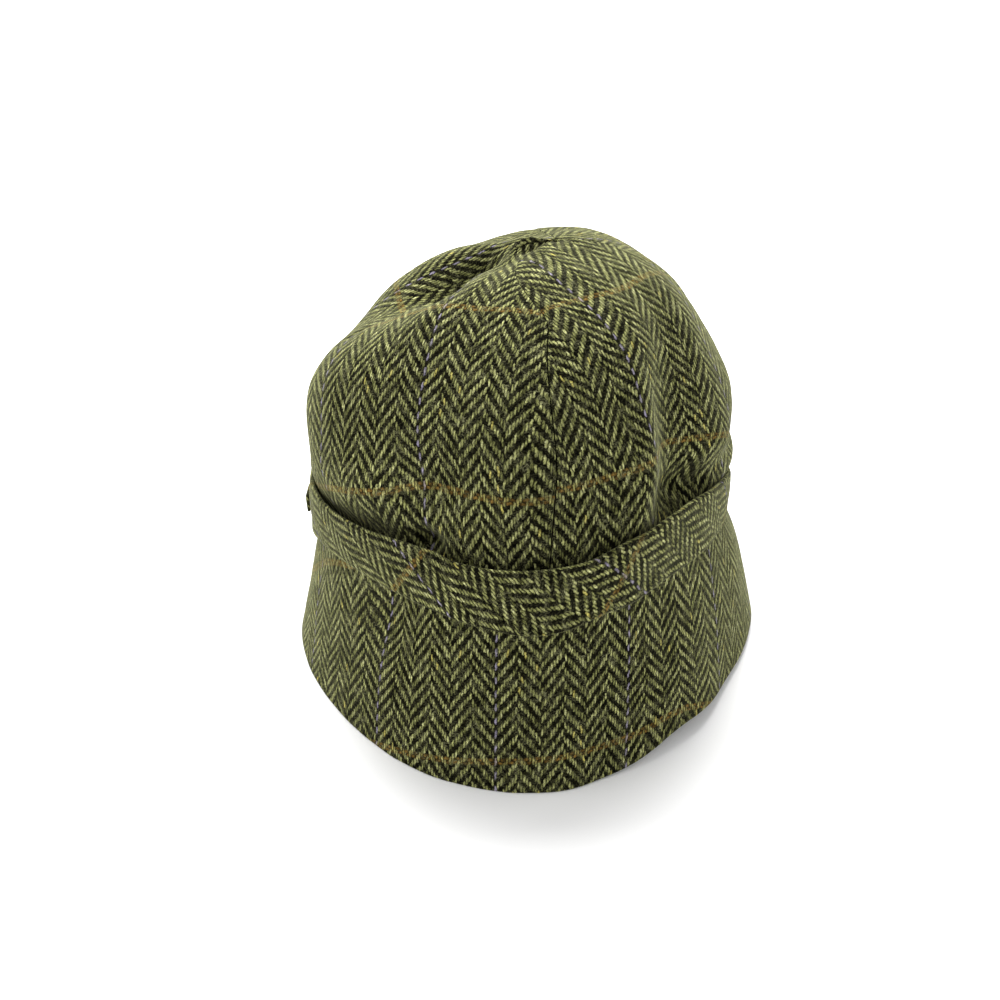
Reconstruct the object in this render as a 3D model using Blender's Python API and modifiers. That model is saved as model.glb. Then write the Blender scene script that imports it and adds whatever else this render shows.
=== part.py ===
"""A soft cloche hat in tweed, resting on its rim: a crown of four panels, a steep bell brim,
a band of the same cloth cut on the bias, and the band's lapped end.

Metres, +Z up. The front of the hat looks towards -Y and its rim rests at z = 0. Angles go round
the hat in degrees from the front, positive towards +X.
"""

import collections
import math

import bmesh
import bpy
from mathutils import Vector

# Crown, measured outside: its oval at the seam, its height above the rim's level, and how full
# its outline is, where 2 is an ellipse and more is squarer
CROWN_WIDTH = 0.175
CROWN_LENGTH = 0.200
CROWN_TOP = 0.176
CROWN_FULLNESS = 2.35
CROWN_WALL = 0.002
APEX_SHIFT_RIGHT = 0.017
APEX_SHIFT_BACK = 0.018
APEX_OPENING = 0.0015
SEAM_DIP = 0.0009
SEAM_DIP_WIDTH = 0.004

# Brim: its drop from the crown seam to the rim on four sides, and how far the rim stands out
BRIM_DROP_FRONT = 0.072
BRIM_DROP_BACK = 0.060
BRIM_DROP_LEFT = 0.062
BRIM_DROP_RIGHT = 0.070
BRIM_FLARE_FRONT = 0.022
BRIM_FLARE_BACK = 0.012
BRIM_FLARE_LEFT = 0.013
BRIM_FLARE_RIGHT = 0.021
BRIM_BELL = 1.2
BRIM_WALL = 0.003

# Band, a doubled strip that stands off the crown along its upper edge, and its lapped end
BAND_HEIGHT = 0.025
BAND_BELOW_SEAM = 0.004
BAND_WALL = 0.0022
BAND_STAND_OFF = 0.0012
BAND_END_ANGLE = -91.0
BAND_END_LENGTH = 0.014
BAND_END_HEIGHT = 0.011
BAND_END_WALL = 0.0018
BAND_END_LIFT = 0.0008

# Clearance between one cloth piece and the next
CLOTH_GAP = 0.0003

# Fineness of the meshes
PANEL_COLUMN_COUNT = 16
PANEL_ROW_COUNT = 18
SEAM_CROWDING = 0.5
RING_STEP_COUNT = 72
BRIM_ROW_COUNT = 6
BAND_ROW_COUNT = 2
BAND_END_COLUMN_COUNT = 4
BAND_END_ROW_COUNT = 2

TWEED_COLOUR = (0.10, 0.105, 0.05)
TWEED_ROUGHNESS = 0.9
SHARP_EDGE_ANGLE = 50.0

Panel = collections.namedtuple("Panel", "name start end")

PANELS = (
    Panel("crown_panel_front_right", 0.0, 90.0),
    Panel("crown_panel_back_right", 90.0, 180.0),
    Panel("crown_panel_back_left", -180.0, -90.0),
    Panel("crown_panel_front_left", -90.0, 0.0),
)

Lean = collections.namedtuple("Lean", "angle start end turn")

# The front seam doesn't rise straight to the apex: higher up it leans over to the hat's left,
# into the deep fold there. Start and end are shares of the way from the crown's foot to the apex,
# and angle and turn are in degrees.
SEAM_LEANS = (
    Lean(angle=0, start=0.30, end=0.64, turn=-8),
    Lean(angle=0, start=0.63, end=0.88, turn=-48),
)

# The band holds the crown in: dents and bulges are free this many band heights above the seam,
# and every fold runs out at the apex by this power of its share of the way there
DENT_FREED_AT = 0.9
BULGE_FREED_AT = 1.25
FOLD_RUN_OUT = 12

Fold = collections.namedtuple("Fold", "angle spread height reach push")

# Folds and dents of the crown. Angle and spread are in degrees, height and reach are shares of
# the way from the seam to the apex, and push is a share of half the crown's width, outwards.
CROWN_FOLDS = (
    Fold(angle=-97, spread=13, height=0.73, reach=0.19, push=-0.20),
    Fold(angle=-72, spread=20, height=0.82, reach=0.09, push=-0.06),
    Fold(angle=-62, spread=14, height=0.56, reach=0.16, push=0.05),
    Fold(angle=-80, spread=22, height=0.37, reach=0.12, push=0.14),
    Fold(angle=-150, spread=26, height=0.75, reach=0.20, push=-0.05),
    Fold(angle=-120, spread=14, height=0.46, reach=0.14, push=0.03),
    Fold(angle=-92, spread=32, height=0.26, reach=0.10, push=0.07),
    Fold(angle=95, spread=40, height=0.26, reach=0.13, push=0.075),
    Fold(angle=175, spread=45, height=0.80, reach=0.16, push=-0.035),
    Fold(angle=105, spread=28, height=0.68, reach=0.14, push=-0.03),
    Fold(angle=27, spread=6, height=0.28, reach=0.22, push=0.03),
    Fold(angle=40, spread=9, height=0.31, reach=0.24, push=-0.05),
    Fold(angle=-48, spread=26, height=0.14, reach=0.08, push=-0.05),
    Fold(angle=52, spread=26, height=0.16, reach=0.08, push=-0.05),
)

Slump = collections.namedtuple("Slump", "angle spread push rise")

# Where the soft oval of the seam is pressed in and rides up, on both sides of the front seam.
# Push is a share of half the crown's width, and rise a share of the brim's drop in front.
SEAM_SLUMPS = (
    Slump(angle=-38, spread=24, push=-0.045, rise=0.055),
    Slump(angle=42, spread=23, push=-0.06, rise=0.085),
)

Wave = collections.namedtuple("Wave", "angle spread push lift")

# Waves of the rim. Push outwards and lift are shares of the brim's drop in front.
BRIM_WAVES = (
    Wave(angle=33, spread=13, push=-0.06, lift=0.07),
    Wave(angle=52, spread=22, push=-0.08, lift=0.12),
    Wave(angle=92, spread=22, push=0.03, lift=0.06),
    Wave(angle=-52, spread=18, push=-0.04, lift=0.0),
)

# The rim, and not the crown, is centred on the origin
CROWN_CENTRE = Vector((
    (BRIM_FLARE_LEFT - BRIM_FLARE_RIGHT) / 2,
    (BRIM_FLARE_FRONT - BRIM_FLARE_BACK) / 2,
    0.0,
))


def hill(distance, spread):
    """A smooth hill of height 1 where distance is 0."""
    return math.exp(-((distance / spread) ** 2))


def smooth_step(value):
    """0 below 0, 1 above 1, and a soft climb between."""
    held = min(max(value, 0.0), 1.0)
    return held * held * (3 - 2 * held)


def turn_between(angle, other):
    """The signed turn from one angle to another, the short way round."""
    return (angle - other + 180.0) % 360.0 - 180.0


def near(angle, feature):
    """How much of a fold, slump or wave is felt at an angle, from 0 to 1."""
    return hill(turn_between(angle, feature.angle), feature.spread)


def round_the_hat(angle, front, back, left, right):
    """A size that changes smoothly round the hat and has these values on its four sides."""
    turn = math.radians(angle)
    mean = (front + back + left + right) / 4
    along = (front - back) / 2 * math.cos(turn)
    across = (right - left) / 2 * math.sin(turn)
    cross = (front + back - left - right) / 4 * math.cos(2 * turn)
    return mean + along + across + cross


def panel_seam(angle, share):
    """Where a seam between two panels really runs at a share of the way to the apex."""
    leans = [lean for lean in SEAM_LEANS if turn_between(angle, lean.angle) == 0]
    return angle + sum(
        lean.turn * smooth_step((share - lean.start) / (lean.end - lean.start)) for lean in leans
    )


def seam_height(angle):
    """Height of the seam between crown and brim."""
    level = round_the_hat(angle, BRIM_DROP_FRONT, BRIM_DROP_BACK, BRIM_DROP_LEFT, BRIM_DROP_RIGHT)
    return level + BRIM_DROP_FRONT * sum(near(angle, slump) * slump.rise for slump in SEAM_SLUMPS)


def oval(angle, outset, height, slumped=1.0):
    """A point on the crown's oval at the seam, moved outwards by outset."""
    pressed = sum(near(angle, slump) * slump.push for slump in SEAM_SLUMPS)
    outset += slumped * pressed * CROWN_WIDTH / 2
    turn = math.radians(angle)
    across = (CROWN_WIDTH / 2 + outset) * math.sin(turn)
    along = -(CROWN_LENGTH / 2 + outset) * math.cos(turn)
    return CROWN_CENTRE + Vector((across, along, height))


def crown_profile(share):
    """How far out and how high the crown's outline is, each as a share of its full size."""
    climb = share * math.pi / 2
    across = math.cos(climb)
    up = math.sin(climb)
    size = (across**CROWN_FULLNESS + up**CROWN_FULLNESS) ** (1 / CROWN_FULLNESS)
    return across / size, up / size


def crown_point(angle, share):
    """A point on the outside of the crown, share of the way from the seam to the apex."""
    reach, rise = crown_profile(share)
    base = seam_height(angle)
    point = CROWN_CENTRE + (oval(angle, 0.0, 0.0) - CROWN_CENTRE) * reach
    point += Vector((APEX_SHIFT_RIGHT, APEX_SHIFT_BACK, 0.0)) * rise**2
    point.z = base + (CROWN_TOP - base) * rise

    push = sum(
        near(angle, fold) * hill(share - fold.height, fold.reach) * fold.push
        for fold in CROWN_FOLDS
    )
    under_band = (BAND_HEIGHT - BAND_BELOW_SEAM) / (CROWN_TOP - base)
    freed_at = BULGE_FREED_AT if push > 0 else DENT_FREED_AT
    freed = smooth_step(share / (under_band * freed_at))
    push *= CROWN_WIDTH / 2 * (1.0 - share**FOLD_RUN_OUT)

    from_seam = min(abs(turn_between(angle, panel_seam(panel.start, share))) for panel in PANELS)
    away = CROWN_WIDTH / 2 * reach * math.radians(from_seam)
    push -= SEAM_DIP * hill(away, SEAM_DIP_WIDTH)

    turn = math.radians(angle)
    climb = share * math.pi / 2
    level = Vector((math.sin(turn), -math.cos(turn), 0.0)) * math.cos(climb)
    return point + (level + Vector((0.0, 0.0, math.sin(climb)))) * push * freed


def brim_flare(angle):
    """How far the rim stands out from the crown seam."""
    return round_the_hat(
        angle, BRIM_FLARE_FRONT, BRIM_FLARE_BACK, BRIM_FLARE_LEFT, BRIM_FLARE_RIGHT
    )


def brim_point(angle, share):
    """A point on the outside of the brim, share of the way down from the seam to the rim."""
    bell = share**BRIM_BELL
    waved = BRIM_DROP_FRONT * bell
    outset = brim_flare(angle) * bell + waved * sum(near(angle, w) * w.push for w in BRIM_WAVES)
    lift = waved * sum(near(angle, w) * w.lift for w in BRIM_WAVES)
    top = seam_height(angle) - CLOTH_GAP / 2
    return oval(angle, outset, top * (1 - share) + lift, 1 - share)


def band_point(angle, share):
    """A point on the inside of the band, share of the way up its height."""
    seam = seam_height(angle)
    over_brim = brim_flare(angle) * (BAND_BELOW_SEAM / seam) ** BRIM_BELL
    outset = CLOTH_GAP + over_brim * (1 - share) + BAND_STAND_OFF * share
    return oval(angle, outset, seam - BAND_BELOW_SEAM + BAND_HEIGHT * share)


def outward_normal(point_at, angle, share):
    """The direction straight out of a surface at one of its points."""
    round_it = point_at(angle + 1.0, share) - point_at(angle - 1.0, share)
    up_it = point_at(angle, min(share + 0.01, 1.0)) - point_at(angle, max(share - 0.01, 0.0))
    normal = round_it.cross(up_it).normalized()
    outwards = point_at(angle, share) - CROWN_CENTRE
    outwards.z = 0.0
    return normal if normal.dot(outwards) > 0 else -normal


def add_cloth(name, shape, collection):
    """Makes an object of a finished shape, smooth and with its own tweed."""
    mesh = bpy.data.meshes.new(name)
    shape.to_mesh(mesh)
    shape.free()
    piece = bpy.data.objects.new(name, mesh)
    collection.objects.link(piece)
    tweed = bpy.data.materials.new(name + "_tweed")
    tweed.use_nodes = True
    shader = tweed.node_tree.nodes["Principled BSDF"]
    shader.inputs["Base Color"].default_value = (*TWEED_COLOUR, 1.0)
    shader.inputs["Roughness"].default_value = TWEED_ROUGHNESS
    shader.inputs["Metallic"].default_value = 0.0
    mesh.materials.append(tweed)
    mesh.shade_smooth()
    mesh.set_sharp_from_angle(angle=math.radians(SHARP_EDGE_ANGLE))
    return piece


def thicken(piece, wall, side):
    """Gives a sheet its wall, inwards for side -1 and outwards for side 1."""
    solidify = piece.modifiers.new("wall", "SOLIDIFY")
    solidify.thickness = wall
    solidify.offset = side


def add_crown_panel(panel, collection):
    """One crown panel: a grid laid over its quarter of the crown, finer beside its seams."""
    shape = bmesh.new()
    bmesh.ops.create_grid(shape, x_segments=PANEL_COLUMN_COUNT, y_segments=PANEL_ROW_COUNT, size=0.5)
    top = 1 - 2 / math.pi * APEX_OPENING / (CROWN_WIDTH / 2)
    for vertex in shape.verts:
        across = vertex.co.x + 0.5
        across -= SEAM_CROWDING * math.sin(2 * math.pi * across) / (2 * math.pi)
        share = top * (vertex.co.y + 0.5)
        reach, _ = crown_profile(share)
        seam_gap = math.degrees(CLOTH_GAP / (CROWN_WIDTH / 2 * reach))
        start = panel_seam(panel.start, share) + seam_gap / 2
        end = panel_seam(panel.end, share) - seam_gap / 2
        angle = start + (end - start) * across
        vertex.co = crown_point(angle, share)
        vertex.co.z += CLOTH_GAP / 2 * (1 - share)
    thicken(add_cloth(panel.name, shape, collection), CROWN_WALL, -1)


def add_ring(name, point_at, wall, rows, collection):
    """A ring of cloth from a torus: its section runs along one face, round the edge and back."""
    section = 2 * (rows + 1)
    bpy.ops.mesh.primitive_torus_add(major_segments=RING_STEP_COUNT, minor_segments=section)
    torus = bpy.context.object
    shape = bmesh.new()
    shape.from_mesh(torus.data)
    bpy.data.objects.remove(torus)
    for index, vertex in enumerate(shape.verts):
        angle = 360.0 * (index // section) / RING_STEP_COUNT
        place = index % section
        share = min(place, section - 1 - place) / rows
        vertex.co = point_at(angle, share)
        if place > rows:
            level = vertex.co.z
            vertex.co += wall * outward_normal(point_at, angle, share)
            if share in (0.0, 1.0):
                vertex.co.z = level
    if shape.calc_volume(signed=True) < 0:
        bmesh.ops.reverse_faces(shape, faces=shape.faces)
    return add_cloth(name, shape, collection)


def add_band_end(collection):
    """The strip's lapped end: a short flap on the band, whose tip lifts off it."""
    shape = bmesh.new()
    bmesh.ops.create_grid(shape, x_segments=BAND_END_COLUMN_COUNT, y_segments=BAND_END_ROW_COUNT, size=0.5)
    turn = math.degrees(BAND_END_LENGTH / (CROWN_WIDTH / 2))
    for vertex in shape.verts:
        angle = BAND_END_ANGLE + turn * vertex.co.x
        share = 0.5 + BAND_END_HEIGHT / BAND_HEIGHT * vertex.co.y
        lift = BAND_WALL + CLOTH_GAP + BAND_END_LIFT * (vertex.co.x + 0.5) ** 2
        vertex.co = band_point(angle, share) + lift * outward_normal(band_point, angle, share)
    piece = add_cloth("band_end", shape, collection)
    thicken(piece, BAND_END_WALL, 1)


for old in list(bpy.data.objects):
    bpy.data.objects.remove(old)
hat = bpy.data.collections.new("cloche_hat")
bpy.context.scene.collection.children.link(hat)

for crown_panel in PANELS:
    add_crown_panel(crown_panel, hat)
add_ring("brim", brim_point, -BRIM_WALL, BRIM_ROW_COUNT, hat)
add_ring("band", band_point, BAND_WALL, BAND_ROW_COUNT, hat)
add_band_end(hat)
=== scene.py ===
import math

import bmesh
import bpy
from mathutils import Matrix, Vector, noise


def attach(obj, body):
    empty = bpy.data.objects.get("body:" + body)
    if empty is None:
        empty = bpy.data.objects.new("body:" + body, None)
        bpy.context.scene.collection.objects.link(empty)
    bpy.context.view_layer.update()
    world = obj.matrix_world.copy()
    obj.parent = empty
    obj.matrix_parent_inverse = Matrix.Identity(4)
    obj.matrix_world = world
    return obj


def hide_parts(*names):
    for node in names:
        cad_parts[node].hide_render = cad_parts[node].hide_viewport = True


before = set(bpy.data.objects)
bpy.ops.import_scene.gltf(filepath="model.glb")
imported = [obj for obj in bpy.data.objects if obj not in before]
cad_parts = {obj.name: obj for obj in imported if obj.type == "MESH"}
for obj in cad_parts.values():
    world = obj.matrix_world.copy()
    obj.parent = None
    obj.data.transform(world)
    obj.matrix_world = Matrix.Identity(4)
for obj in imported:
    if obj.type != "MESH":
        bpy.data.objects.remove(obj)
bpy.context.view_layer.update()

# Crown. Four panels of wool tweed, cut on the straight grain and interlined, are sewn together
# edge to edge with pressed-open seams, and the soft cap slumps: a deep fold falls in beside the
# apex on the left, and the front seam leans over into it.

# Lengths are in metres. Angles go round the hat from the front, positive to the right, and left and
# right are as seen from in front. A share runs from the crown's foot, 0, to its apex, 1.
CROWN_WIDTH = 0.175
CROWN_LENGTH = 0.200
CROWN_TOP = 0.176
CROWN_FULLNESS = 2.35
CLOTH_WALL = 0.002
APEX_LEAN = Vector((0.017, 0.018, 0.0))
BRIM_DROP = (0.072, 0.060, 0.062, 0.070)
BRIM_FLARE = (0.022, 0.012, 0.013, 0.021)
CROWN_CENTRE = Vector((-0.004, 0.005, 0.0))
CLOTH_GAP = 0.0003
BAND_HEIGHT = 0.025
BAND_BELOW_SEAM = 0.004
SEAM_ANGLES = (0, 90, 180, -90)
SEAM_DIP, SEAM_DIP_REACH = 0.0007, 0.004
STITCH_LINE, STITCH_LINE_REACH = 0.0006, 0.0011
PANEL_GRID = (64, 60)
PANEL_CROWDING = 0.9
APEX_SHARE = 0.994

# height, pitch: how uneven the steamed cloth is, and how it puckers along its seams
CROWN_UNEVENNESS = ((0.0007, 45), (0.00022, 120))
SEAM_PUCKER = (0.0004, 190)
SEAM_PUCKER_REACH = 0.007

# how far up the crown bulges and dents come free of the band, as parts of what the band covers
BULGES_FREED, DENTS_FREED = 1.25, 0.9

# angle, start, end, turn: where and how far the front seam leans
SEAM_LEANS = ((0, 0.30, 0.64, -8), (0, 0.63, 0.88, -48))

# angle, spread, height, reach, push: the folds and dents of the soft cap
CROWN_FOLDS = (
    (-97, 13, 0.73, 0.19, -0.20),
    (-72, 20, 0.82, 0.09, -0.06),
    (-62, 14, 0.56, 0.16, 0.05),
    (-80, 22, 0.37, 0.12, 0.14),
    (-150, 26, 0.75, 0.20, -0.05),
    (-120, 14, 0.46, 0.14, 0.03),
    (-92, 32, 0.26, 0.10, 0.07),
    (95, 40, 0.26, 0.13, 0.075),
    (175, 45, 0.80, 0.16, -0.035),
    (105, 28, 0.68, 0.14, -0.03),
    (27, 6, 0.28, 0.22, 0.03),
    (40, 9, 0.31, 0.24, -0.05),
    (-48, 26, 0.14, 0.08, -0.05),
    (52, 26, 0.16, 0.08, -0.05),
)

# the same for the smaller creases that the cloth gives way to without turning its weave
CROWN_CREASES = (
    (0, 55, 0.60, 0.17, 0.030),
    (180, 110, 0.86, 0.13, -0.013),
    (-84, 24, 0.145, 0.05, 0.040),
    (-88, 20, 0.115, 0.03, 0.040),
    (-52, 24, 0.125, 0.05, 0.025),
    (-52, 24, 0.200, 0.06, 0.075),
    (-33, 4, 0.125, 0.04, -0.130),
    (-58, 18, 0.095, 0.035, -0.075),
    (84, 22, 0.145, 0.05, 0.030),
    (80, 22, 0.110, 0.03, 0.130),
    (24, 7, 0.30, 0.28, 0.016),
    (36, 8, 0.54, 0.10, 0.014),
    (47, 9, 0.13, 0.08, -0.055),
    (52, 9, 0.50, 0.15, -0.026),
    (60, 12, 0.210, 0.06, 0.060),
    (-84, 14, 0.64, 0.07, -0.045),
    (-74, 12, 0.67, 0.07, -0.050),
    (-98, 14, 0.88, 0.11, 0.115),
    (-78, 12, 0.93, 0.05, -0.050),
    (-130, 30, 0.85, 0.12, -0.020),
    (14, 7, 0.25, 0.20, -0.018),
    (26, 6, 0.30, 0.22, 0.025),
    (47, 8, 0.30, 0.22, -0.035),
)

# angle, spread, push, rise: where the oval of the crown seam is pressed in and rides up
SEAM_SLUMPS = ((-38, 24, -0.045, 0.055), (42, 23, -0.06, 0.085))


def hill(distance, spread):
    return math.exp(-((distance / spread) ** 2))


def smooth_step(value):
    held = min(max(value, 0.0), 1.0)
    return held * held * (3 - 2 * held)


def turn_between(angle, other):
    return (angle - other + 180.0) % 360.0 - 180.0


def near(angle, place):
    """How much of a fold, slump or wave is felt at an angle; its angle and spread come first."""
    return hill(turn_between(angle, place[0]), place[1])


def outwards(angle):
    """The level direction away from the hat's middle."""
    turn = math.radians(angle)
    return Vector((math.sin(turn), -math.cos(turn), 0.0))


def unevenness(point, *sizes):
    """How far the cloth swells at a point, from noises that each have a height and a pitch."""
    return sum(height * noise.noise(point * pitch) for height, pitch in sizes)


def round_the_hat(angle, sizes):
    """A size with these values in front, behind, on the left and on the right."""
    front, back, left, right = sizes
    turn = math.radians(angle)
    along = (front - back) / 2 * math.cos(turn)
    across = (right - left) / 2 * math.sin(turn)
    cross = (front + back - left - right) / 4 * math.cos(2 * turn)
    return sum(sizes) / 4 + along + across + cross


def panel_seam(angle, share):
    """Where a seam between two panels runs at a share of the way to the apex."""
    return angle + sum(
        turn * smooth_step((share - start) / (end - start))
        for at, start, end, turn in SEAM_LEANS
        if turn_between(angle, at) == 0
    )


def seam_height(angle):
    rise = sum(near(angle, slump) * slump[3] for slump in SEAM_SLUMPS)
    return round_the_hat(angle, BRIM_DROP) + BRIM_DROP[0] * rise


def oval(angle, outset, height, slumped=1.0):
    """A point on the oval of the crown seam, moved outwards."""
    pressed = sum(near(angle, slump) * slump[2] for slump in SEAM_SLUMPS)
    outset += slumped * pressed * CROWN_WIDTH / 2
    turn = math.radians(angle)
    across = (CROWN_WIDTH / 2 + outset) * math.sin(turn)
    along = -(CROWN_LENGTH / 2 + outset) * math.cos(turn)
    return CROWN_CENTRE + Vector((across, along, height))


def crown_profile(share):
    climb = share * math.pi / 2
    across, up = math.cos(climb), math.sin(climb)
    size = (across**CROWN_FULLNESS + up**CROWN_FULLNESS) ** (1 / CROWN_FULLNESS)
    return across / size, up / size


def crown_point(angle, share, folds):
    """A point on the outside of the crown with these folds."""
    reach, rise = crown_profile(share)
    base = seam_height(angle)
    point = CROWN_CENTRE + (oval(angle, 0.0, 0.0) - CROWN_CENTRE) * reach
    point += APEX_LEAN * rise**2
    point.z = base + (CROWN_TOP - base) * rise
    push = sum(near(angle, fold) * hill(share - fold[2], fold[3]) * fold[4] for fold in folds)
    under_band = (BAND_HEIGHT - BAND_BELOW_SEAM) / (CROWN_TOP - base)
    freed = smooth_step(share / (under_band * (BULGES_FREED if push > 0 else DENTS_FREED)))
    push *= CROWN_WIDTH / 2 * (1.0 - share**12)
    from_seam = min(abs(turn_between(angle, panel_seam(seam, share))) for seam in SEAM_ANGLES)
    away = CROWN_WIDTH / 2 * reach * math.radians(from_seam)
    push -= SEAM_DIP * hill(away, SEAM_DIP_REACH) * (1 - share)
    push += unevenness(point, *CROWN_UNEVENNESS)
    push += unevenness(point, SEAM_PUCKER) * hill(away, SEAM_PUCKER_REACH)
    stitched = STITCH_LINE * hill(away, STITCH_LINE_REACH) * (1 - share)
    climb = share * math.pi / 2
    off_cloth = outwards(angle) * math.cos(climb) + Vector((0.0, 0.0, math.sin(climb)))
    return point + off_cloth * (push * freed - stitched)


def crowd_to_edges(share, strength):
    """Moves a column or row of a grid nearer to the edges, where the cloth turns most."""
    return share - strength * math.sin(2 * math.pi * share) / (2 * math.pi)


def flat_grid(name, columns, rows):
    """A flat grid of cloth, one metre square, and its corner at the origin."""
    bpy.ops.object.select_all(action="DESELECT")
    bpy.ops.mesh.primitive_grid_add(
        x_subdivisions=columns, y_subdivisions=rows, size=1, location=(0.5, 0.5, 0)
    )
    cloth = bpy.context.object
    bpy.ops.object.transform_apply(location=True)
    cloth.name = name
    return cloth


def lay_flat(cloth, columns, rows, lean, along, up):
    """Unwraps a piece of cloth to its flat cut, as UVs in millimetres of cloth.

    The piece's middle column stands upright on the cloth, but for the lean of the grain, and the
    cloth's first lilac end and rust pick lie this far along and up from the column's foot.
    """
    bpy.context.view_layer.objects.active = cloth
    cloth.select_set(True)
    bpy.ops.object.mode_set(mode="EDIT")
    bpy.ops.mesh.select_all(action="SELECT")
    bpy.ops.uv.unwrap(method="MINIMUM_STRETCH", iterations=30, margin=0)
    bpy.ops.object.mode_set(mode="OBJECT")
    mesh = cloth.data
    layer = mesh.uv_layers.active.data
    flat_area = 0.0
    spot = {}
    for face in mesh.polygons:
        uvs = [layer[i].uv.copy() for i in face.loop_indices]
        flat_area += sum(a.cross(b) for a, b in zip(uvs, uvs[1:] + uvs[:1])) / 2
        spot.update(zip(face.vertices, uvs))
    scale = 1000 * math.sqrt(sum(face.area for face in mesh.polygons) / abs(flat_area))
    foot = spot[columns // 2]
    head = spot[rows * (columns + 1) + columns // 2]
    turn = math.atan2(head.x - foot.x, head.y - foot.y) + math.radians(lean)
    upright = Matrix.Rotation(turn, 2)
    for corner in layer:
        corner.uv = upright @ (corner.uv - foot) * scale - Vector((along, up))


def ease_in(cloth, eases):
    """Shifts the weave where the cloth was eased or stretched as it was pressed to shape.

    Each ease has its place on the cloth, its reach and its shift, each along and up, in millimetres.
    """
    for corner in cloth.data.uv_layers.active.data:
        spot = corner.uv.copy()
        for along, up, wide, high, shift_along, shift_up in eases:
            felt = hill(spot.x - along, wide) * hill(spot.y - up, high)
            corner.uv += felt * Vector((shift_along, shift_up))


def turn_in(mesh, sheet_faces, sheet_corners, wall):
    """Carries the weave on over the turned-in edges of a sheet that has its wall."""
    layer = mesh.uv_layers.active.data
    inside = {}
    for face in mesh.polygons[:sheet_faces]:
        middle = sum((layer[i].uv for i in face.loop_indices), Vector((0, 0))) / 4
        inside.update((edge, middle) for edge in face.edge_keys)
    for face in mesh.polygons[2 * sheet_faces :]:
        outer = [i for i in face.loop_indices if mesh.loops[i].vertex_index < sheet_corners]
        first, last = (layer[i].uv.copy() for i in outer)
        over = Vector((first.y - last.y, last.x - first.x)).normalized() * 1000 * wall
        edge = tuple(sorted(mesh.loops[i].vertex_index for i in outer))
        if over.dot(first - inside[edge]) < 0:
            over.negate()
        for i in face.loop_indices:
            if i not in outer:
                layer[i].uv += over


def sew_up(cloth, wall, levels):
    """Gives a laid-out sheet its wall, inwards, turns in its edges and rounds it."""
    bpy.context.view_layer.objects.active = cloth
    sheet_faces, sheet_corners = len(cloth.data.polygons), len(cloth.data.vertices)
    solidify = cloth.modifiers.new("wall", "SOLIDIFY")
    solidify.thickness = wall
    solidify.offset = -1
    bpy.ops.object.modifier_apply(modifier="wall")
    turn_in(cloth.data, sheet_faces, sheet_corners, wall)
    smooth = cloth.modifiers.new("round", "SUBSURF")
    smooth.levels = levels
    smooth.render_levels = levels
    bpy.ops.object.modifier_apply(modifier="round")
    cloth.data.shade_smooth()


# The tweed: a clean-cut two-and-two herringbone of olive warp over dark green weft, eight ends to a
# rib, with a lilac end every 48 ends and two rust picks every 52. Its lengths are in millimetres.
END_PITCH = 1.14
PICK_PITCH = 1.46
RIB_ENDS = 8
LILAC_EVERY, LILAC_ENDS = 48, 1
RUST_EVERY, RUST_PICKS = 52, 2


def dye(red, green, blue):
    """A colour as a dyer's card gives it, from 0 to 255, as the light it gives back."""
    return (*((level / 255) ** 2.2 for level in (red, green, blue)), 1.0)


def wire(tree, kind, values, **settings):
    """Adds a node, and gives its inputs their values or links."""
    node = tree.nodes.new("ShaderNode" + kind)
    for setting, value in settings.items():
        setattr(node, setting, value)
    for socket, value in values.items():
        if isinstance(value, bpy.types.NodeSocket):
            tree.links.new(value, node.inputs[socket])
        else:
            node.inputs[socket].default_value = value
    return node


def reckon(tree, operation, *values):
    return wire(tree, "Math", dict(enumerate(values)), operation=operation).outputs[0]


def blend_colours(tree, share, first, second, how="MIX"):
    values = {0: share, 6: first, 7: second}
    return wire(tree, "Mix", values, data_type="RGBA", blend_type=how).outputs[2]


def blend_values(tree, share, first, second):
    return wire(tree, "Mix", {0: share, 2: first, 3: second}).outputs[0]


def shades(tree, share, *stops):
    """A ramp through colours, each with its place from 0 to 1."""
    ramp = wire(tree, "ValToRGB", {0: share})
    elements = ramp.color_ramp.elements
    for _ in stops[2:]:
        elements.new(0.5)
    for element, (place, colour) in zip(elements, stops):
        element.position = place
        element.color = colour
    return ramp.outputs[0]


def stretch(tree, value, low, high, first=0.0, last=1.0):
    """Turns a value between low and high into one between first and last, held at both ends."""
    return wire(tree, "MapRange", {0: value, 1: low, 2: high, 3: first, 4: last}).outputs[0]


def dim(tree, colour, level):
    """Dims a colour to a level, or brings it up where the level is over 1."""
    grey = wire(tree, "CombineColor", {0: level, 1: level, 2: level})
    return blend_colours(tree, 1.0, colour, grey.outputs[0], "MULTIPLY")


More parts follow.
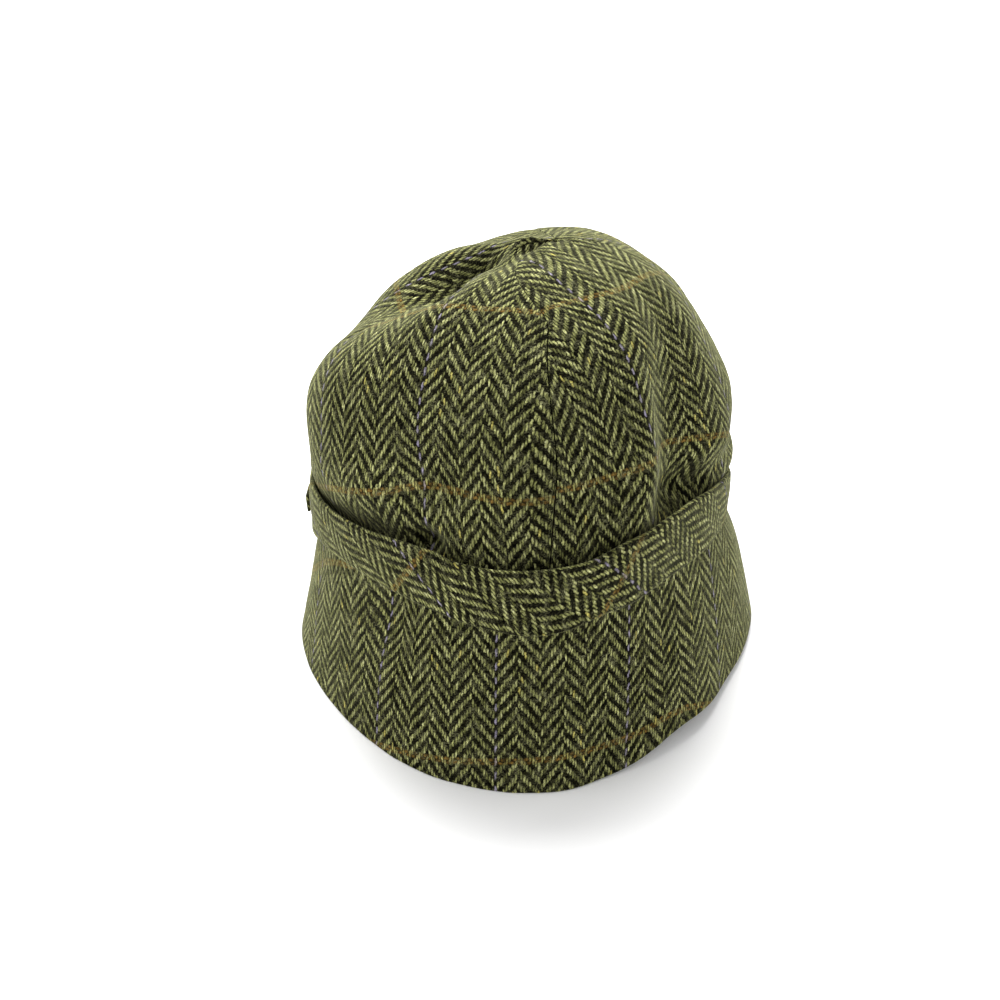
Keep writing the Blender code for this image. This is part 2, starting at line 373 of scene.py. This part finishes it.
def herringbone_tweed():
    """The node group of the weave, which reads millimetres of flat cloth."""
    tree = bpy.data.node_groups.new("herringbone_tweed", "ShaderNodeTree")
    tree.interface.new_socket("Cloth", in_out="INPUT", socket_type="NodeSocketVector")
    tree.interface.new_socket("Colour", in_out="OUTPUT", socket_type="NodeSocketColor")
    tree.interface.new_socket("Height", in_out="OUTPUT", socket_type="NodeSocketFloat")
    cloth = tree.nodes.new("NodeGroupInput").outputs[0]

    # where on the cloth: the yarns wander a little, and are thicker and thinner
    wander = wire(tree, "TexNoise", {"Vector": cloth, "Scale": 0.25, "Detail": 4.0, "Roughness": 0.75})
    moved = wire(tree, "VectorMath", {0: wander.outputs[1], 1: (0.5, 0.5, 0.5)}, operation="SUBTRACT")
    moved = wire(tree, "VectorMath", {0: moved.outputs[0], 1: (2.2, 2.6, 0.0)}, operation="MULTIPLY")
    place = wire(tree, "VectorMath", {0: cloth, 1: moved.outputs[0]}, operation="ADD")
    place = wire(tree, "SeparateXYZ", {0: place.outputs[0]})
    across = reckon(tree, "DIVIDE", place.outputs[0], END_PITCH)
    along = reckon(tree, "DIVIDE", place.outputs[1], PICK_PITCH)
    end, in_end = reckon(tree, "FLOOR", across), reckon(tree, "FRACT", across)
    pick, in_pick = reckon(tree, "FLOOR", along), reckon(tree, "FRACT", along)

    # the twill climbs in one rib and falls in the next: how far each yarn is from the middle of
    # its float, in crossings, from 0 on top to 2 underneath
    rib = reckon(tree, "FLOOR", reckon(tree, "DIVIDE", reckon(tree, "ADD", end, 0.5), RIB_ENDS))
    falling = reckon(tree, "FLOORED_MODULO", rib, 2.0)
    first_end = reckon(tree, "MULTIPLY", rib, RIB_ENDS)
    in_rib = reckon(tree, "SUBTRACT", end, first_end)
    fine_in_rib = reckon(tree, "SUBTRACT", across, first_end)

    def from_middle(travel):
        turned = reckon(tree, "FLOORED_MODULO", travel, 4.0)
        return reckon(tree, "ABSOLUTE", reckon(tree, "SUBTRACT", turned, 2.0))

    warp_travel = blend_values(
        tree,
        falling,
        reckon(tree, "SUBTRACT", along, in_rib),
        reckon(tree, "ADD", reckon(tree, "ADD", along, in_rib), 3.0),
    )
    warp_travel = reckon(tree, "ADD", warp_travel, 1.0)
    weft_travel = blend_values(
        tree,
        falling,
        reckon(tree, "SUBTRACT", pick, fine_in_rib),
        reckon(tree, "ADD", reckon(tree, "ADD", pick, fine_in_rib), 2.0),
    )

    def yarn_top(travel, side, slant):
        off_middle = from_middle(travel)
        climb = reckon(tree, "COSINE", reckon(tree, "MULTIPLY", off_middle, math.pi / 2))
        run = reckon(tree, "SUBTRACT", reckon(tree, "FLOORED_MODULO", travel, 4.0), 2.0)
        side = reckon(tree, "SUBTRACT", side, reckon(tree, "MULTIPLY", run, slant))
        side = reckon(tree, "MULTIPLY", reckon(tree, "SUBTRACT", side, 0.5), 2.4)
        round_back = reckon(tree, "SUBTRACT", 1.0, reckon(tree, "MULTIPLY", side, side))
        round_back = reckon(tree, "SQRT", reckon(tree, "MAXIMUM", round_back, 0.0))
        return reckon(tree, "ADD", climb, round_back), round_back

    slant = blend_values(tree, falling, 0.11, -0.07)
    warp_top, warp_back = yarn_top(warp_travel, in_end, slant)
    weft_top, _ = yarn_top(weft_travel, in_pick, 0.0)
    weft_top = reckon(tree, "SUBTRACT", weft_top, 0.45)
    twist = reckon(tree, "SUBTRACT", across, reckon(tree, "MULTIPLY", along, 0.22))

    def fibres(fineness, shortness, layer, detail, roughness):
        spot = {0: reckon(tree, "MULTIPLY", twist, fineness), 2: layer}
        spot[1] = reckon(tree, "MULTIPLY", along, shortness)
        drawn_out = wire(tree, "CombineXYZ", spot).outputs[0]
        grain = {"Vector": drawn_out, "Scale": 1.0, "Detail": detail, "Roughness": roughness}
        return wire(tree, "TexNoise", grain).outputs[0]

    hair = reckon(tree, "SUBTRACT", fibres(1.7, 0.7, 7.0, 2.0, 0.7), 0.5)
    lead = reckon(tree, "SUBTRACT", warp_top, weft_top)
    lead = reckon(tree, "ADD", lead, reckon(tree, "MULTIPLY", hair, 3.8))
    warp_over = stretch(tree, lead, -0.2, 0.5)

    # each float takes up its own shade of a mixed wool, and its fibres run along it
    float_number = reckon(tree, "FLOOR", reckon(tree, "DIVIDE", warp_travel, 4.0))
    float_seed = wire(tree, "CombineXYZ", {0: end, 1: float_number, 2: falling})
    chance = wire(tree, "TexWhiteNoise", {"Vector": float_seed.outputs[0]})
    chances = wire(tree, "SeparateColor", {0: chance.outputs[1]})
    warp_fibre = fibres(3.0, 0.6, 0.0, 2.0, 0.7)
    own_shade = reckon(tree, "MULTIPLY", chance.outputs[0], 0.26)
    mixed = reckon(tree, "ADD", own_shade, reckon(tree, "MULTIPLY", warp_fibre, 0.86))
    warp_colour = shades(
        tree,
        mixed,
        (0.30, dye(26, 27, 13)),
        (0.44, dye(70, 71, 42)),
        (0.55, dye(104, 106, 66)),
        (0.66, dye(126, 127, 82)),
        (0.80, dye(156, 157, 116)),
    )
    fleck = reckon(tree, "MULTIPLY", reckon(tree, "GREATER_THAN", chances.outputs[0], 0.988), 0.6)
    warp_colour = blend_colours(tree, fleck, warp_colour, dye(146, 134, 58))

    # a coloured yarn or two, once in so many, makes each stripe of the windowpane
    def in_stripe(yarn, every, yarns):
        counted = reckon(tree, "FLOORED_MODULO", reckon(tree, "ADD", yarn, 0.5), every)
        return reckon(tree, "LESS_THAN", counted, yarns)

    lilac = in_stripe(end, LILAC_EVERY, LILAC_ENDS)
    lilac_shade = blend_colours(tree, warp_fibre, dye(44, 40, 56), dye(142, 134, 158))
    warp_colour = blend_colours(tree, reckon(tree, "MULTIPLY", lilac, 0.85), warp_colour, lilac_shade)
    weft_colour = blend_colours(tree, chances.outputs[1], dye(4, 4, 1), dye(24, 23, 10))
    rust = in_stripe(pick, RUST_EVERY, RUST_PICKS)
    rust_shade = blend_colours(tree, chances.outputs[2], dye(66, 52, 26), dye(124, 98, 50))
    weft_colour = blend_colours(tree, reckon(tree, "MULTIPLY", rust, 0.8), weft_colour, rust_shade)
    warp_colour = blend_colours(tree, reckon(tree, "MULTIPLY", rust, 0.3), warp_colour, dye(126, 108, 56))
    # painted shade: each warp float is darkened towards its sides, where it dips beside the next end, and
    # brightened a little along its rounded back
    warp_colour = dim(tree, warp_colour, stretch(tree, warp_back, 0.0, 0.85, 0.1, 1.16))
    colour = blend_colours(tree, warp_over, weft_colour, warp_colour)

    # painted shade darkens the yarns where they dip under one another, lightest on their tops, and loose
    # fibres mottle them all
    top = reckon(tree, "MAXIMUM", warp_top, weft_top)
    shade = stretch(tree, top, 0.2, 1.8, 0.04, 1.3)
    fibre = fibres(1.6, 1.1, 3.0, 4.0, 0.85)
    shade = reckon(tree, "MULTIPLY", shade, stretch(tree, fibre, 0.36, 0.64, 0.12, 1.95))
    patch = wire(tree, "TexNoise", {"Vector": cloth, "Scale": 0.05, "Detail": 2.0}).outputs[0]
    shade = reckon(tree, "MULTIPLY", shade, stretch(tree, patch, 0.3, 0.7, 0.86, 1.14))
    colour = dim(tree, colour, shade)
    hairy = wire(tree, "TexNoise", {"Vector": cloth, "Scale": 0.16, "Detail": 3.0}).outputs[0]
    hairy = stretch(tree, hairy, 0.42, 0.66, 0.1, 0.75)
    for scale, breadth in ((0.31, 0.02), (0.47, 0.02), (1.0, 0.018)):
        winding = {"Vector": cloth, "Scale": scale, "Detail": 1.0, "Distortion": 1.2}
        strand = wire(tree, "TexNoise", winding).outputs[0]
        off_strand = reckon(tree, "ABSOLUTE", reckon(tree, "SUBTRACT", strand, 0.5))
        on_strand = reckon(tree, "MULTIPLY", stretch(tree, off_strand, breadth, breadth / 3), hairy)
        colour = blend_colours(tree, on_strand, colour, dye(122, 122, 90))
    height = reckon(tree, "MULTIPLY", reckon(tree, "ADD", top, fibre), 0.5)
    given = tree.nodes.new("NodeGroupOutput")
    tree.links.new(colour, given.inputs["Colour"])
    tree.links.new(height, given.inputs["Height"])
    return tree


TWEED_WEAVE = herringbone_tweed()


def tweed(name):
    """The tweed itself: rough wool with a soft bloom of loose fibres."""
    material = bpy.data.materials.new(name)
    material.use_nodes = True
    tree = material.node_tree
    shader = tree.nodes["Principled BSDF"]
    cloth = wire(tree, "UVMap", {}, uv_map="UVMap")
    weave = wire(tree, "Group", {}, node_tree=TWEED_WEAVE)
    tree.links.new(cloth.outputs[0], weave.inputs["Cloth"])
    relief = wire(tree, "Bump", {"Strength": 0.9, "Distance": 0.0006, "Height": weave.outputs["Height"]})
    tree.links.new(weave.outputs["Colour"], shader.inputs["Base Color"])
    tree.links.new(relief.outputs[0], shader.inputs["Normal"])
    slope = wire(tree, "LayerWeight", {"Blend": 0.5})
    bloom = stretch(tree, slope.outputs["Facing"], 0.3, 1.0, 0.0, 0.36)
    tree.links.new(bloom, shader.inputs["Sheen Weight"])
    shader.inputs["Roughness"].default_value = 1.0
    shader.inputs["Specular IOR Level"].default_value = 0.04
    shader.inputs["Sheen Roughness"].default_value = 0.5
    shader.inputs["Sheen Tint"].default_value = dye(206, 208, 162)
    return material


TWEED = tweed("olive_herringbone_tweed")

# along, up, wide, high, shift along, shift up: where each panel was eased, for ease_in
CROWN_EASES = {
    "crown_front_right": (
        (20, 5, 32, 30, 0, -6.0),
        (15, 70, 22, 25, 0, 6.5),
        (-2, 20, 14, 16, 4.5, 0),
        (4, 104, 12, 14, -3.5, 0),
    ),
    "crown_front_left": (
        (3, 0, 16, 16, -5.5, 0),
        (-50, 42, 24, 40, -9.0, 0),
        (6, 5, 14, 16, 0, -3.5),
        (43, 0, 14, 16, 0, 2.2),
        (55, 20, 8, 45, -2.4, 0),
    ),
}

# name, start, end, lean of the grain, and millimetres to the first lilac end and rust pick
for name, start, end, lean, along, up in (
    ("crown_front_right", 0, 90, 0, -24.1, 36.6),
    ("crown_back_right", 90, 180, 14, 12.0, 30.0),
    ("crown_back_left", -180, -90, -27.5, 16.5, -3.1),
    ("crown_front_left", -90, 0, -14, 21.4, 35.0),
):
    panel = flat_grid(name, *PANEL_GRID)
    places = []
    for vertex in panel.data.vertices:
        across = crowd_to_edges(vertex.co.x, PANEL_CROWDING)
        share = APEX_SHARE * vertex.co.y
        reach, _ = crown_profile(share)
        gap = math.degrees(CLOTH_GAP / (CROWN_WIDTH / 2 * reach))
        first = panel_seam(start, share) + gap / 2
        last = panel_seam(end, share) - gap / 2
        places.append((first + (last - first) * across, share))
        vertex.co = crown_point(*places[-1], CROWN_FOLDS)
    lay_flat(panel, *PANEL_GRID, lean, along, up)
    ease_in(panel, CROWN_EASES.get(name, ()))
    for vertex, place in zip(panel.data.vertices, places):
        vertex.co = crown_point(*place, CROWN_FOLDS + CROWN_CREASES)
    sew_up(panel, CLOTH_WALL, 1)
    panel.data.materials.append(TWEED)
    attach(panel, "root")
    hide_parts("crown_panel" + name[5:])

# Brim. One steep bell-shaped piece of the same tweed, faced and interlined, joined at the centre
# back and sewn to the crown's foot under the band. Its rim is turned in, and waves a little.
BRIM_BELL = 1.2
BRIM_WALL = 0.003
BRIM_GRID = (160, 26)
BRIM_CROWDING = 0.75
BRIM_UNEVENNESS = ((0.0009, 38), (0.0003, 110))
BRIM_BULGE = (90, 34, 0.0042)
BRIM_HELD = 8
BRIM_FIRST_STRIPES = (-21.6, 13.3)

# angle, spread, push, lift: the waves of the rim, then ripples that leave its weave as it lies
BRIM_WAVES = (
    (33, 13, -0.06, 0.07),
    (52, 22, -0.08, 0.12),
    (92, 22, 0.03, 0.06),
    (-52, 18, -0.04, 0.0),
)
BRIM_RIPPLES = (
    (14, 12, -0.058, 0.0),
    (42, 8, 0.03, 0.0),
    (56, 22, -0.03, -0.07),
    (-10, 14, -0.015, 0.0),
)


def brim_point(angle, share, waves):
    """A point on the outside of the brim, share of the way down from the seam to the rim."""
    bell = share**BRIM_BELL
    waved = BRIM_DROP[0] * bell
    outset = round_the_hat(angle, BRIM_FLARE) * bell
    outset += waved * sum(near(angle, wave) * wave[2] for wave in waves)
    lift = waved * sum(near(angle, wave) * wave[3] for wave in waves)
    top = seam_height(angle) - CLOTH_GAP / 2
    point = oval(angle, outset, top * (1 - share) + lift, 1 - share)
    pucker = unevenness(point, *BRIM_UNEVENNESS)
    pucker += BRIM_BULGE[2] * math.sin(math.pi * share) * near(angle, BRIM_BULGE)
    # the seam holds the brim's top edge even
    return point + outwards(angle) * pucker * smooth_step(share * BRIM_HELD)


def close_behind(ring):
    """Joins a ring of cloth along its centre back, where its two ends meet."""
    shape = bmesh.new()
    shape.from_mesh(ring.data)
    bmesh.ops.remove_doubles(shape, verts=shape.verts, dist=0.00001)
    shape.to_mesh(ring.data)
    shape.free()


# along, up, wide, high, shift along, shift up: where the brim was eased, for ease_in
BRIM_EASES = (
    (-47, 66, 12, 22, -7.6, 0),
    (113, 27, 22, 40, -4.0, 0),
    (84, 8, 22, 20, 0, -7.5),
    (-145, 58, 45, 25, 0, 17.0),
)

# the flat brim is an arch: steaming fanned its ribs from a height, and bent its picks to the rim
RIB_FAN, RIB_LEAN, RIB_FAN_FROM = 0.0016, 0.03, 35
PICK_BEND, PICK_TILT = 0.0010, 0.04

brim = flat_grid("brim_cloth", *BRIM_GRID)
places = []
for vertex in brim.data.vertices:
    places.append((-180 + 360 * vertex.co.x, crowd_to_edges(1 - vertex.co.y, BRIM_CROWDING)))
    vertex.co = brim_point(*places[-1], BRIM_WAVES)
lay_flat(brim, *BRIM_GRID, 0, *BRIM_FIRST_STRIPES)
for corner in brim.data.uv_layers.active.data:
    side, up = (spot + first for spot, first in zip(corner.uv, BRIM_FIRST_STRIPES))
    corner.uv.x -= (RIB_FAN * side + RIB_LEAN) * (up - RIB_FAN_FROM)
    corner.uv.y += PICK_BEND * side**2 - PICK_TILT * side
ease_in(brim, BRIM_EASES)
for vertex, place in zip(brim.data.vertices, places):
    vertex.co = brim_point(*place, BRIM_WAVES + BRIM_RIPPLES)
close_behind(brim)
sew_up(brim, BRIM_WALL, 1)
brim.data.materials.append(TWEED)
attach(brim, "root")
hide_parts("brim")

# Band. A bias-cut strip of the tweed, folded double, lies over the seam between crown and brim.
# It is sewn just above its foot, so its upper edge stands a little off the crown, and its foot a
# little off the brim in front.
BAND_WALL = 0.0022
BAND_STAND_OFF = 0.0012
BAND_ROUNDING = 0.0009
BAND_FOOT_OFF = 0.0005
BAND_FOOT_GAPE = (-2, 22, 0.0024)
BAND_UNEVENNESS = ((0.0005, 60), (0.0002, 150))
BAND_GRID = (240, 10)
BAND_STEPS = 720

# the slit at the left, where the crown sinks behind the band's raised edge: angles and their run-outs
SLIT_RISE = 0.0022
SLIT_START, SLIT_START_RUN = -62, 30
SLIT_END, SLIT_END_RUN = -24, 5

# cloth, in millimetres, for each millimetre along the band and up it, after steaming to shape
BAND_GRAIN = Matrix(((0.659, 0.685), (-0.851, 0.630)))
BAND_FIRST_STRIPES = Vector((13.1, 21.9))

# angle, spread, foot, top, stand-off: how the steamed band rides up or down, and gapes
BAND_STRAYS = (
    (5, 32, -0.0010, 0.0026, 0.0),
    (-60, 17, 0.0046, 0.0032, 0.0008),
    (12, 8, 0.0024, 0.0, 0.0),
    (19, 7, 0.0, 0.0020, 0.0),
    (35, 22, 0.0, 0.0010, 0.0),
    (48, 18, -0.0040, 0.0, 0.0010),
    (-45, 17, 0.0, 0.0, 0.0010),
    (-94, 17, -0.0080, -0.0030, -0.0008),
    (-78, 10, 0.0026, 0.0020, 0.0),
    (-2, 22, -0.0004, 0.0, 0.0),
    (98, 24, -0.0130, -0.0150, 0.0012),
)


def band_point(angle, share):
    """A point on the outside of the band, share of the way up its height."""
    seam = seam_height(angle)
    foot = seam - BAND_BELOW_SEAM
    top = foot + BAND_HEIGHT
    outset = CLOTH_GAP + BAND_WALL + BAND_STAND_OFF * share
    outset += BAND_ROUNDING * math.sin(math.pi * share) + BAND_FOOT_OFF * (1 - share)
    outset += BAND_FOOT_GAPE[2] * near(angle, BAND_FOOT_GAPE) * (1 - share) ** 4
    for stray in BAND_STRAYS:
        foot += near(angle, stray) * stray[2]
        top += near(angle, stray) * stray[3]
        outset += near(angle, stray) * stray[4] * share
    raised = smooth_step((SLIT_END - angle) / SLIT_END_RUN)
    top += SLIT_RISE * raised * smooth_step((angle - SLIT_START) / SLIT_START_RUN)
    height = foot + (top - foot) * share
    below = max(0.0, (seam - height) / seam)
    outset += round_the_hat(angle, BRIM_FLARE) * below**BRIM_BELL
    point = oval(angle, outset, height)
    return point + outwards(angle) * unevenness(point, *BAND_UNEVENNESS)


band = flat_grid("band_cloth", *BAND_GRID)
run = [0.0]
for step in range(BAND_STEPS):
    here, ahead = (band_point(360 * at / BAND_STEPS - 180, 0.5) for at in (step, step + 1))
    run.append(run[-1] + (ahead - here).length)
for corner in band.data.loops:
    place = band.data.vertices[corner.vertex_index].co
    along = 1000 * run[round(BAND_STEPS * place.x)]
    up = 1000 * BAND_HEIGHT * place.y
    on_cloth = BAND_GRAIN @ Vector((along, up)) - BAND_FIRST_STRIPES
    band.data.uv_layers.active.data[corner.index].uv = on_cloth
for vertex in band.data.vertices:
    vertex.co = band_point(-180 + 360 * vertex.co.x, vertex.co.y)
close_behind(band)
sew_up(band, BAND_WALL, 1)
band.data.materials.append(TWEED)
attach(band, "root")
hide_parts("band")

# Band end. The strip's end, of the same tweed, has its raw edges turned under. It laps over the
# band at the left, where a few hidden stitches hold it down.
BAND_END_ANGLE = -93
BAND_END_SHARE = 0.47
BAND_END_LENGTH = 0.011
BAND_END_HEIGHT = 0.0075
BAND_END_WALL = 0.0014
BAND_END_LIFT = 0.0002
BAND_END_GRID = (10, 8)

band_end = flat_grid("band_end_cloth", *BAND_END_GRID)
for corner in band_end.data.loops:
    place = band_end.data.vertices[corner.vertex_index].co
    along = 1000 * BAND_END_LENGTH * place.x
    up = 1000 * BAND_END_HEIGHT * place.y
    band_end.data.uv_layers.active.data[corner.index].uv = BAND_GRAIN @ Vector((along, up))
for vertex in band_end.data.vertices:
    across, up = vertex.co.x - 0.5, vertex.co.y - 0.5
    angle = BAND_END_ANGLE + math.degrees(BAND_END_LENGTH / (CROWN_WIDTH / 2)) * across
    point = band_point(angle, BAND_END_SHARE + BAND_END_HEIGHT / BAND_HEIGHT * up)
    lift = CLOTH_GAP + BAND_END_WALL + BAND_END_LIFT * (across + 0.5) ** 2
    vertex.co = point + lift * outwards(angle)
sew_up(band_end, BAND_END_WALL, 1)
band_end.data.materials.append(TWEED)
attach(band_end, "root")
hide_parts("band_end")

# Floor. A plain matt white board, level under the rim. A large softbox hangs high behind the hat,
# weaker ones stand at both sides and low in front, and a white room fills the shadows.
LAMP_AIM = Vector((0, 0, 0.08))

bpy.ops.object.select_all(action="DESELECT")
bpy.ops.mesh.primitive_plane_add(size=8)
floor = bpy.context.object
floor.name = "floor"
floor_white = bpy.data.materials.new("floor_white")
floor_white.use_nodes = True
board = floor_white.node_tree.nodes["Principled BSDF"]
board.inputs["Base Color"].default_value = (0.92, 0.92, 0.92, 1)
board.inputs["Roughness"].default_value = 1.0
floor.data.materials.append(floor_white)

studio = bpy.data.worlds.new("studio")
studio.use_nodes = True
white_room = studio.node_tree.nodes["Background"]
white_room.inputs["Color"].default_value = (1, 1, 1, 1)
white_room.inputs["Strength"].default_value = 0.57
bpy.context.scene.world = studio
bpy.context.scene.view_settings.view_transform = "Standard"

# name, place, size, watts
for name, place, size, watts in (
    ("top_softbox", (0.0, 1.1, 1.4), 1.4, 80.0),
    ("left_softbox", (-1.6, 0.2, 0.7), 1.2, 13.0),
    ("right_softbox", (1.6, 0.2, 0.7), 1.2, 8.5),
    ("front_softbox", (0.0, -1.2, 0.2), 1.0, 3.6),
):
    light = bpy.data.lights.new(name, "AREA")
    light.size = size
    light.energy = watts
    lamp = bpy.data.objects.new(name, light)
    lamp.location = place
    lamp.rotation_euler = (LAMP_AIM - lamp.location).to_track_quat("-Z", "Y").to_euler()
    bpy.context.collection.objects.link(lamp)

# Camera. It looks at the hat's front from six degrees round to the left and 33 degrees above, half
# a metre away, with a lens as long as 1.3 frames are wide.
CAMERA_LENS = 46.8
CAMERA_TURN = math.radians(-6)
CAMERA_HEIGHT = math.radians(33)
CAMERA_DISTANCE = 0.5372
CAMERA_AIM = Vector((-0.0157, -0.0318, 0.085))

lens = bpy.data.cameras.new("camera")
lens.lens = CAMERA_LENS
lens.clip_start = 0.01
camera = bpy.data.objects.new("camera", lens)
towards = Vector((math.sin(CAMERA_TURN), -math.cos(CAMERA_TURN), math.tan(CAMERA_HEIGHT)))
camera.location = CAMERA_AIM + CAMERA_DISTANCE * towards.normalized()
camera.rotation_euler = (math.pi / 2 - CAMERA_HEIGHT, 0, CAMERA_TURN)
bpy.context.collection.objects.link(camera)
bpy.context.scene.camera = camera

bpy.context.view_layer.update()
